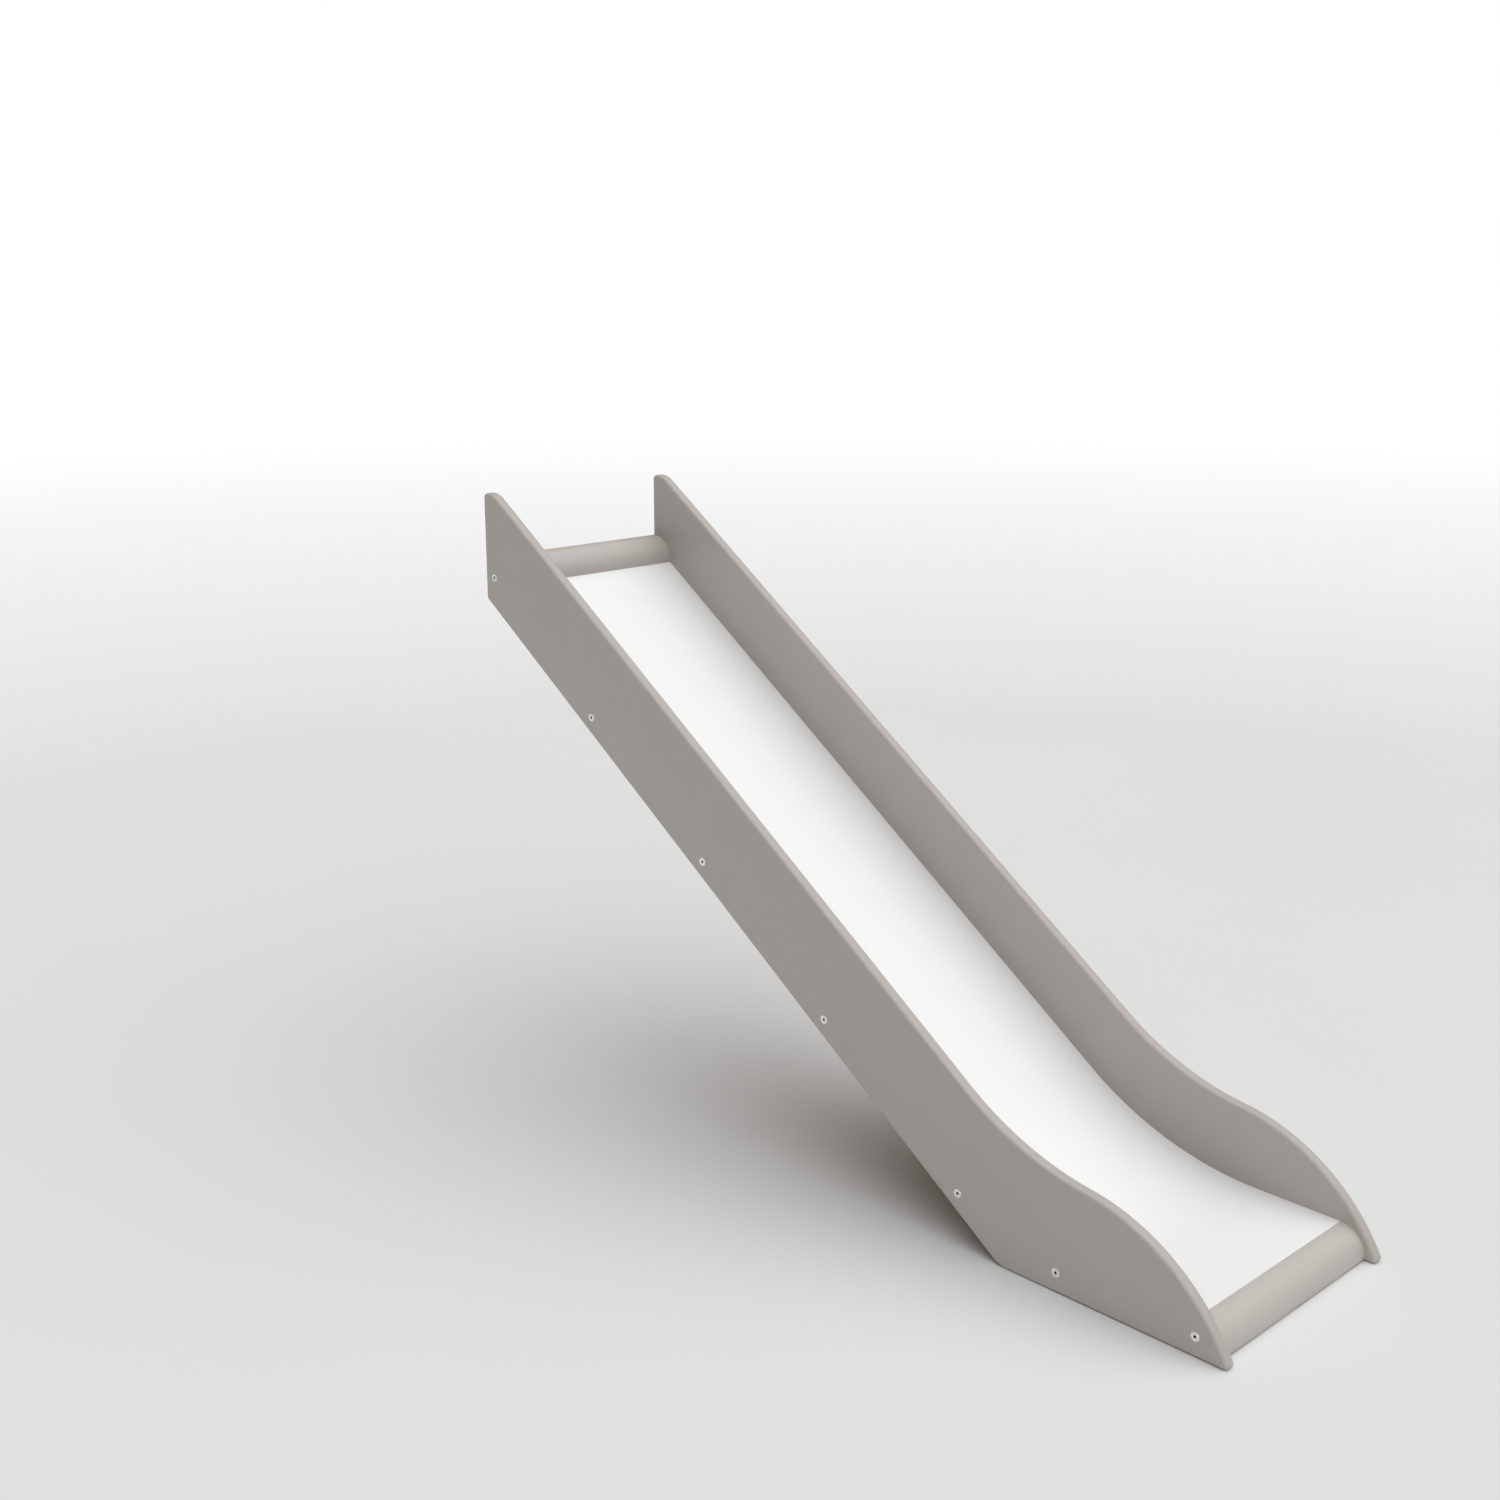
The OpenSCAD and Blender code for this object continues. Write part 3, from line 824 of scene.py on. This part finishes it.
class SLIDE_OT_side_panels(SlideOperator, bpy.types.Operator):
    """Build both side panels with their groove, countersinks and dowel holes"""

    bl_idname = "bed_slide.side_panels"
    bl_label = "Side panels"

    def build(self, slide, side):
        shape = slide.members
        bm = board(side.panel(), -OUTER_X, -INNER_X)
        edges = list({edge for face in end_faces(bm) for edge in face.edges})
        round_edges(bm, edges, slide.panels.round_over)
        groove_tool = board(side.groove(), -INNER_X - slide.sheet.groove, -INNER_X + MM)
        bolt_tool = repeated(head_cutter(slide), [at_left(-OUTER_X, bolt_axis(name)) for name in MEMBERS])
        dowel_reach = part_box(MEMBERS[0] + "_dowels")[0].x - shape.spare / 2
        dowel_tool = repeated(
            as_mesh(drill(dowel_reach, -INNER_X + MM, shape.dowel_hole), "dowel cutter"),
            [Matrix.Translation(middle(name + "_dowels")) for name in MEMBERS],
        )
        left = cut(bm, [groove_tool, bolt_tool, dowel_tool])
        right = left.copy()
        bmesh.ops.scale(right, vec=(-1, 1, 1), verts=right.verts)
        bmesh.ops.reverse_faces(right, faces=right.faces)
        finish = lacquer_finish("grey lacquer on panels", slide.finishes.lacquer, along_slope(side))
        finish_piece("left_panel_board", left, ["left_side_panel"], [finish])
        finish_piece("right_panel_board", right, ["right_side_panel"], [finish])


class SLIDE_OT_sliding_sheet(SlideOperator, bpy.types.Operator):
    """Build the bent sheet: white laminate on top, brown hardboard below"""

    bl_idname = "bed_slide.sliding_sheet"
    bl_label = "Sliding sheet"

    def build(self, slide, side):
        sheet = slide.sheet
        outline = side.band(-sheet.thickness, 0, sheet.let_in, side.sheet_end)
        bm = board(outline, -SHEET_X, SHEET_X)
        for face in bm.faces:
            face.material_index = 0 if face.normal.z > 0.5 else 1
        turn = along_slope(side)
        finish_piece(
            "laminated_sheet", bm, ["sliding_sheet"],
            [
                laminate_finish(slide.finishes.laminate, turn),
                hardboard_finish(slide.finishes.hardboard, turn),
            ],
        )


def member_tools(slide, member, along_up):
    """The tools that drill a rail or batten for its bolts, its dowels and its barrel nuts."""
    shape, hardware = slide.members, slide.hardware
    reach = -OUTER_X + hardware.bolt_length + shape.spare
    bolt = as_mesh(drill(-INNER_X - MM, reach, shape.bolt_hole), "bolt cutter")
    ends = [Matrix.Identity(4), Matrix.Rotation(math.pi, 4, "Z")]
    bolt_tool = repeated(bolt, [Matrix.Translation(bolt_axis(member)) @ end for end in ends])
    dowel_stop = dowel_inner_end(member) + shape.spare
    dowel = as_mesh(drill(-INNER_X - MM, dowel_stop, shape.dowel_hole), "dowel cutter")
    dowel_tool = repeated(dowel, [Matrix.Translation(middle(member + "_dowels")) @ end for end in ends])
    nut_end = hardware.nut_length / 2 + shape.spare
    nut = as_mesh(drill(-2 * shape.batten_height, nut_end, shape.nut_hole), "nut cutter")
    upwards = along_up.to_track_quat("X", "Y").to_matrix().to_4x4()
    nut_tool = repeated(
        nut, [Matrix.Translation(bolt_axis(member) + x * ACROSS) @ upwards for x in nut_places(member)]
    )
    return [bolt_tool, dowel_tool, nut_tool]


def nut_places(member):
    """Where along X the two barrel nuts of a member sit."""
    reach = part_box(member + "_barrel_nuts")[1].x - bpy.context.scene.bed_slide.hardware.nut_radius
    return (-reach, reach)


def dowel_inner_end(member):
    """Where along X the inner end of the left dowel lies."""
    inner = [v.co.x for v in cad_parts[member + "_dowels"].data.vertices if v.co.x < 0]
    return max(inner)


def ease_long_edges(bm, radius):
    """Eases the corners of a section along the whole length of a board."""
    edges = []
    for edge in bm.edges:
        first, last = (vert.co for vert in edge.verts)
        if abs(first.x - last.x) >= MM and edge.calc_face_angle(0) >= CORNER_ANGLE:
            edges.append(edge)
    round_edges(bm, edges, radius, EASED_STEPS)


class SLIDE_OT_rails(SlideOperator, bpy.types.Operator):
    """Build the top and bottom rails with their round noses"""

    bl_idname = "bed_slide.rails"
    bl_label = "Rails"

    def build(self, slide, side):
        shape = slide.members
        # Painted light: the rails get a paler copy of the panel lacquer, for the brighter light on their
        # noses and tops.
        finish = lacquer_finish("grey lacquer on rails, painted lighter", slide.finishes.rail_lacquer)
        for name in RAILS:
            low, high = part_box(name)
            bm = board(rail_outline(low, high, shape.nose_radius), -INNER_X, INNER_X)
            ease_long_edges(bm, min(shape.eased, (high.z - low.z - shape.nose_radius) / 2))
            tools = [board(side.groove(), -INNER_X - MM, INNER_X + MM)] + member_tools(slide, name, UP)
            if name == RAILS[0]:
                tools.append(insert_tool(slide))
            finish_piece(name + "_lacquered", cut(bm, tools), [name], [finish])


def insert_places():
    """The outer ends of the two threaded inserts, in the back of the top rail."""
    low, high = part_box("mounting_inserts")
    radius = (high.z - low.z) / 2
    return [Vector((x, high.y, low.z + radius)) for x in (low.x + radius, high.x - radius)]


def facing_back(points):
    """Places for shapes that are drawn along +X from their outer end and point towards the exit."""
    return [Matrix.Translation(point) @ Matrix.Rotation(-math.pi / 2, 4, "Z") for point in points]


def insert_tool(slide):
    low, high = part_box("mounting_inserts")
    deep = high.y - low.y + slide.members.spare
    hole = as_mesh(drill(-MM, deep, slide.members.insert_hole), "insert cutter")
    return repeated(hole, facing_back(insert_places()))


# Where the heart of the first batten's log runs, and how it moves on from batten to batten.
HEART = Vector((0, 0.035, 0.04))
HEART_STEP = Vector((0.11, -0.017, 0))
HEART_RISE = 0.012 * UP


class SLIDE_OT_battens(SlideOperator, bpy.types.Operator):
    """Build the pine battens under the sheet"""

    bl_idname = "bed_slide.battens"
    bl_label = "Battens"

    def build(self, slide, side):
        sheet, shape = slide.sheet, slide.members
        for number, name in enumerate(BATTENS):
            tilted = side.slopes(name)
            along, up = (side.down, side.up) if tilted else (FRONT, UP)
            centre = bolt_axis(name)
            outline = box_outline(
                centre, along, up, shape.batten_width, -shape.batten_height / 2, 1.5 * shape.batten_height
            )
            bm = board(outline, -INNER_X, INNER_X)
            ease_long_edges(bm, shape.eased)
            above = side.band(
                -sheet.thickness - sheet.clearance, 3 * shape.batten_height, sheet.let_in, EXIT_LOW.y
            )
            tools = [board(above, -INNER_X - MM, INNER_X + MM)] + member_tools(slide, name, up)
            heart = HEART + number * HEART_STEP + number % 3 * HEART_RISE - centre
            finish = pine_finish("pine " + name[-1], slide.finishes.pine, heart)
            finish_piece(name + "_pine", cut(bm, tools), [name], [finish])


# Turn of the first bolt's socket and the step to the next one, on the left side and on the right.
SOCKET_TURNS = ((0, 0.7), (1.1, -0.9))


class SLIDE_OT_bolts(SlideOperator, bpy.types.Operator):
    """Build the countersunk connector bolts"""

    bl_idname = "bed_slide.bolts"
    bl_label = "Bolts"

    def build(self, slide, side):
        bolt = self.bolt(slide.hardware)
        finish = nickel_finish(slide.finishes.nickel)
        sunk = OUTER_X - slide.hardware.head_sunk
        for number, name in enumerate(MEMBERS):
            axis = bolt_axis(name)
            spins = [Matrix.Rotation(first + step * number, 4, "X") for first, step in SOCKET_TURNS]
            places = [at_left(-sunk, axis) @ spins[0], at_right(sunk, axis) @ spins[1]]
            finish_piece(
                name + "_bolt_pair", repeated(bolt, places), [name + "_bolts"], [finish]
            )

    def bolt(self, shape):
        """One bolt along +X with the face of its head at x = 0."""
        socket = shape.hex_width / math.sqrt(3)
        dish, edge = 0.25 * MM, 0.15 * MM
        stem = shape.bolt_radius
        cone_end = shape.head_rim + shape.head_radius - stem
        profile = [
            (dish, socket + dish), (dish * 0.4, socket + 3 * dish), (0, shape.head_radius - 5 * edge),
            (edge * 0.3, shape.head_radius - edge), (edge, shape.head_radius),
            (shape.head_rim, shape.head_radius), (cone_end, stem),
            (shape.bolt_length - shape.thread_length, stem),
        ]
        turns = int((shape.thread_length - shape.chamfer) / shape.thread_pitch)
        for turn in range(turns):
            x = shape.bolt_length - shape.thread_length + turn * shape.thread_pitch
            profile += [
                (x + shape.thread_pitch / 2, stem - shape.thread_depth), (x + shape.thread_pitch, stem)
            ]
        profile += [(shape.bolt_length, stem - shape.chamfer), (shape.bolt_length, 0)]
        bm = bmesh.new()
        lathe(bm, profile)
        rim = [edge for edge in bm.edges if edge.is_boundary]
        made = bmesh.ops.create_circle(bm, segments=6, radius=socket)["verts"]
        upright = Matrix.Rotation(math.pi / 2, 4, "Y")
        bmesh.ops.transform(bm, matrix=Matrix.Translation((dish, 0, 0)) @ upright, verts=made)
        hexagon = list({edge for vert in made for edge in vert.link_edges})
        bmesh.ops.subdivide_edges(bm, edges=hexagon, cuts=LATHE_STEPS // 6 - 1)
        mouth = [edge for edge in bm.edges if edge.is_wire]
        bmesh.ops.bridge_loops(bm, edges=rim + mouth)
        walls = bmesh.ops.extrude_edge_only(bm, edges=mouth)["geom"]
        floor = [item for item in walls if isinstance(item, bmesh.types.BMVert)]
        bmesh.ops.translate(bm, verts=floor, vec=(shape.hex_depth - dish) * ACROSS)
        ring = [item for item in walls if isinstance(item, bmesh.types.BMEdge)]
        ring = [edge for edge in ring if edge.is_boundary]
        bottom = bmesh.ops.edgeloop_fill(bm, edges=ring)["faces"]
        centre = bmesh.ops.poke(bm, faces=bottom)["verts"]
        bmesh.ops.translate(bm, verts=centre, vec=shape.chamfer * ACROSS)
        bmesh.ops.recalc_face_normals(bm, faces=bm.faces)
        return as_mesh(bm, "bolt")


class SLIDE_OT_barrel_nuts(SlideOperator, bpy.types.Operator):
    """Build the slotted barrel nuts that the bolts draw up to"""

    bl_idname = "bed_slide.barrel_nuts"
    bl_label = "Barrel nuts"

    def build(self, slide, side):
        nut = as_mesh(self.nut(slide.hardware), "barrel nut")
        finish = zinc_finish(slide.finishes.zinc)
        for name in MEMBERS:
            tilt = Matrix.Rotation(side.slope if side.slopes(name) else 0, 4, "X")
            places = [
                Matrix.Translation(bolt_axis(name) + x * ACROSS) @ tilt for x in nut_places(name)
            ]
            finish_piece(
                name + "_nut_pair", repeated(nut, places), [name + "_barrel_nuts"], [finish]
            )

    def nut(self, shape):
        """One nut that stands along Z at the origin, with its slot at the lower end."""
        bm = bmesh.new()
        half, edge = shape.nut_length / 2, 0.4 * MM
        lathe(bm, [
            (-half, 0), (-half, shape.nut_radius - edge), (edge - half, shape.nut_radius),
            (half - edge, shape.nut_radius), (half, shape.nut_radius - edge), (half, 0),
        ])
        upright = Matrix.Rotation(-math.pi / 2, 4, "Y")
        bmesh.ops.transform(bm, matrix=upright, verts=bm.verts)
        slot = bmesh.new()
        size = Matrix.Diagonal((4 * shape.nut_radius, shape.slot_width, 2 * shape.slot_depth, 1))
        bmesh.ops.create_cube(slot, size=1, matrix=Matrix.Translation((0, 0, -half)) @ size)
        bore = drill(-2 * shape.nut_radius, 2 * shape.nut_radius, shape.bolt_radius + 0.05 * MM)
        return cut(bm, [slot, bore])


class SLIDE_OT_dowels(SlideOperator, bpy.types.Operator):
    """Build the fluted dowels beside the bolts"""

    bl_idname = "bed_slide.dowels"
    bl_label = "Dowels"

    def build(self, slide, side):
        finish = beech_finish(slide.finishes.beech)
        for name in MEMBERS:
            start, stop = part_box(name + "_dowels")[0].x, dowel_inner_end(name)
            dowel = self.dowel(slide.hardware, stop - start)
            point = middle(name + "_dowels")
            places = [at_left(start, point), at_right(-start, point)]
            finish_piece(
                name + "_dowel_pair", repeated(dowel, places), [name + "_dowels"], [finish]
            )

    def dowel(self, shape, full_length):
        """One fluted dowel along +X from the origin."""
        bm = bmesh.new()
        count = 4 * shape.flutes
        bmesh.ops.create_circle(
            bm, cap_ends=True, segments=count, radius=shape.dowel_radius,
            matrix=Matrix.Rotation(math.pi / 2, 4, "Y"),
        )
        for number, vert in enumerate(bm.verts):
            if number % 4 == 0:
                vert.co *= 1 - shape.flute / shape.dowel_radius
        chamfer = shape.chamfer
        face, first = bm.faces[:], True
        for step in (chamfer, full_length - 2 * chamfer, chamfer):
            swept = bmesh.ops.extrude_face_region(bm, geom=face, use_keep_orig=first)["geom"]
            face, first = [item for item in swept if isinstance(item, bmesh.types.BMFace)], False
            bmesh.ops.translate(bm, verts=face[0].verts, vec=step * ACROSS)
        narrow = 1 - chamfer / shape.dowel_radius
        ends = [vert for vert in bm.verts if vert.co.x < chamfer / 2 or vert.co.x > full_length - chamfer / 2]
        bmesh.ops.scale(bm, vec=(1, narrow, narrow), verts=ends)
        bmesh.ops.recalc_face_normals(bm, faces=bm.faces)
        return as_mesh(bm, "dowel")


class SLIDE_OT_mounting_inserts(SlideOperator, bpy.types.Operator):
    """Build the threaded inserts that take the bed bolts"""

    bl_idname = "bed_slide.mounting_inserts"
    bl_label = "Mounting inserts"

    def build(self, slide, side):
        shape = slide.hardware
        low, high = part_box("mounting_inserts")
        deep = high.y - low.y
        outer, bore, edge = shape.insert_radius, shape.insert_bore, 0.6 * MM
        coarse, fine = 3 * MM, 1.25 * MM
        profile = [(0, bore + 1.5 * edge), (0, outer - edge / 3), (edge / 3, outer), (2 * edge, outer)]
        x = 2 * edge
        while x + coarse < deep - edge:
            profile += [
                (x + coarse * 0.3, outer - shape.insert_thread),
                (x + coarse * 0.75, outer - shape.insert_thread), (x + coarse, outer),
            ]
            x += coarse
        profile += [(deep, outer - shape.insert_thread - edge), (deep, bore + edge)]
        x = deep - edge
        while x - fine > 1.5 * edge:
            profile += [(x, bore), (x - fine / 2, bore + 0.5 * MM)]
            x -= fine
        profile += [(1.5 * edge, bore), (0, bore + 1.5 * edge)]
        bm = bmesh.new()
        lathe(bm, profile)
        insert = as_mesh(bm, "insert")
        finish_piece(
            "bed_insert_pair", repeated(insert, facing_back(insert_places())),
            ["mounting_inserts"], [zinc_finish(slide.finishes.zinc)],
        )


FLOOR_STEPS = 96
FLOOR_GAP = 0.3 * MM  # between the slide and the floor
FLOOR_END = 0.7  # share of the floor's radius at which it has faded out
FADE_POWER = 0.7
# Cosine of the angle from its lean at which the overhead light starts, and at which it is full.
SKY_START = 0.3
SKY_FULL = 0.9


class SLIDE_OT_stage(SlideOperator, bpy.types.Operator):
    """Build the floor, the soft light and the camera"""

    bl_idname = "bed_slide.stage"
    bl_label = "Stage"

    def build(self, slide, side):
        look = slide.stage
        self.floor(look)
        self.sky(look)
        self.fill_light(look)
        camera = bpy.data.objects.new("camera", bpy.data.cameras.new("camera"))
        camera.location = look.camera
        camera.rotation_euler = (math.pi / 2 + look.pitch, 0, -look.heading)
        camera.data.lens = look.lens
        bpy.context.collection.objects.link(camera)
        bpy.context.scene.camera = camera
        bpy.context.scene.view_settings.view_transform = "Standard"

    def fill_light(self, look):
        """Broad light from the left that skims over the floor."""
        light = bpy.data.lights.new("side fill", "SUN")
        light.energy, light.angle = look.fill, look.fill_width
        obj = bpy.data.objects.new("side fill", light)
        obj.rotation_euler = Vector(look.fill_heading).to_track_quat("-Z", "Y").to_euler()
        bpy.context.collection.objects.link(obj)

    def floor(self, look):
        """A plain floor that fades out far away and can't be seen from below."""
        bm = bmesh.new()
        bmesh.ops.create_circle(bm, cap_ends=True, segments=FLOOR_STEPS, radius=look.floor_radius)
        bmesh.ops.translate(bm, verts=bm.verts, vec=-FLOOR_GAP * UP)
        obj = bpy.data.objects.new("floor", as_mesh(bm, "floor"))
        bpy.context.collection.objects.link(obj)
        f = Finish("pale floor")
        clouds = f.clouds(1.2)
        toned = f.toned(clouds, look.floor, 0.992, 1.0)
        f.surface(toned, f.remap(clouds, 0, 1, 0.82, 0.9))
        f.shader.inputs["Specular IOR Level"].default_value = 0.2
        behind = f.add("ShaderNodeNewGeometry").outputs["Backfacing"]
        faded = f.remap(f.vectors("LENGTH", f.along), look.floor_fade, look.floor_radius * FLOOR_END)
        gone = f.math("MAXIMUM", behind, f.math("POWER", faded, FADE_POWER))
        seen = f.add("ShaderNodeLightPath").outputs["Is Camera Ray"]
        clear = f.add("ShaderNodeBsdfTransparent").outputs[0]
        mixed = f.add(
            "ShaderNodeMixShader",
            {0: f.math("MULTIPLY", gone, seen), 1: f.shader.outputs[0], 2: clear},
        )
        output = next(node for node in f.tree.nodes if node.type == "OUTPUT_MATERIAL")
        f.tree.links.new(mixed.outputs[0], output.inputs["Surface"])
        obj.data.materials.append(f.material)

    def sky(self, look):
        """Soft light that is strongest overhead, and a white background behind it."""
        world = bpy.data.worlds.new("studio")
        bpy.context.scene.world = world
        world.use_nodes = True
        nodes = Nodes(world.node_tree)
        background = world.node_tree.nodes["Background"]
        background.inputs["Color"].default_value = (1, 1, 1, 1)
        heading = nodes.add("ShaderNodeTexCoord").outputs["Generated"]
        lean = Vector(look.key_lean).normalized()
        overhead = nodes.vectors("DOT_PRODUCT", heading, lean)
        light = nodes.remap(overhead, SKY_START, SKY_FULL, look.sky, look.sky + look.key)
        light.node.interpolation_type = "SMOOTHSTEP"
        seen = nodes.add("ShaderNodeLightPath").outputs["Is Camera Ray"]
        behind = nodes.math("SUBTRACT", 1.0, seen)
        strength = nodes.math("ADD", nodes.math("MULTIPLY", light, behind), seen)
        world.node_tree.links.new(strength, background.inputs["Strength"])


STEPS = (
    SLIDE_OT_side_panels,
    SLIDE_OT_sliding_sheet,
    SLIDE_OT_rails,
    SLIDE_OT_battens,
    SLIDE_OT_bolts,
    SLIDE_OT_barrel_nuts,
    SLIDE_OT_dowels,
    SLIDE_OT_mounting_inserts,
    SLIDE_OT_stage,
)


class SLIDE_PT_panel(bpy.types.Panel):
    """The slide's steps and settings in the sidebar"""

    bl_idname = "SLIDE_PT_panel"
    bl_label = "Bed slide"
    bl_space_type = "VIEW_3D"
    bl_region_type = "UI"
    bl_category = "Bed slide"

    def draw(self, context):
        for step in STEPS:
            self.layout.operator(step.bl_idname)
        slide = context.scene.bed_slide
        for part in ("panels", "sheet", "members", "hardware", "finishes", "stage"):
            box = self.layout.box()
            box.label(text=part.capitalize())
            group = getattr(slide, part)
            for name in group.__annotations__:
                box.prop(group, name)


CLASSES = (
    PanelShape, SheetShape, MemberShape, HardwareShape, Finishes, StageLook, SlideSettings,
    *STEPS, SLIDE_PT_panel,
)


def register():
    for item in CLASSES:
        bpy.utils.register_class(item)
    bpy.types.Scene.bed_slide = PointerProperty(type=SlideSettings)


def unregister():
    del bpy.types.Scene.bed_slide
    for item in reversed(CLASSES):
        bpy.utils.unregister_class(item)


def main():
    register()
    for step in STEPS:
        area, _, name = step.bl_idname.partition(".")
        getattr(getattr(bpy.ops, area), name)()


if __name__ == "__main__":
    main()
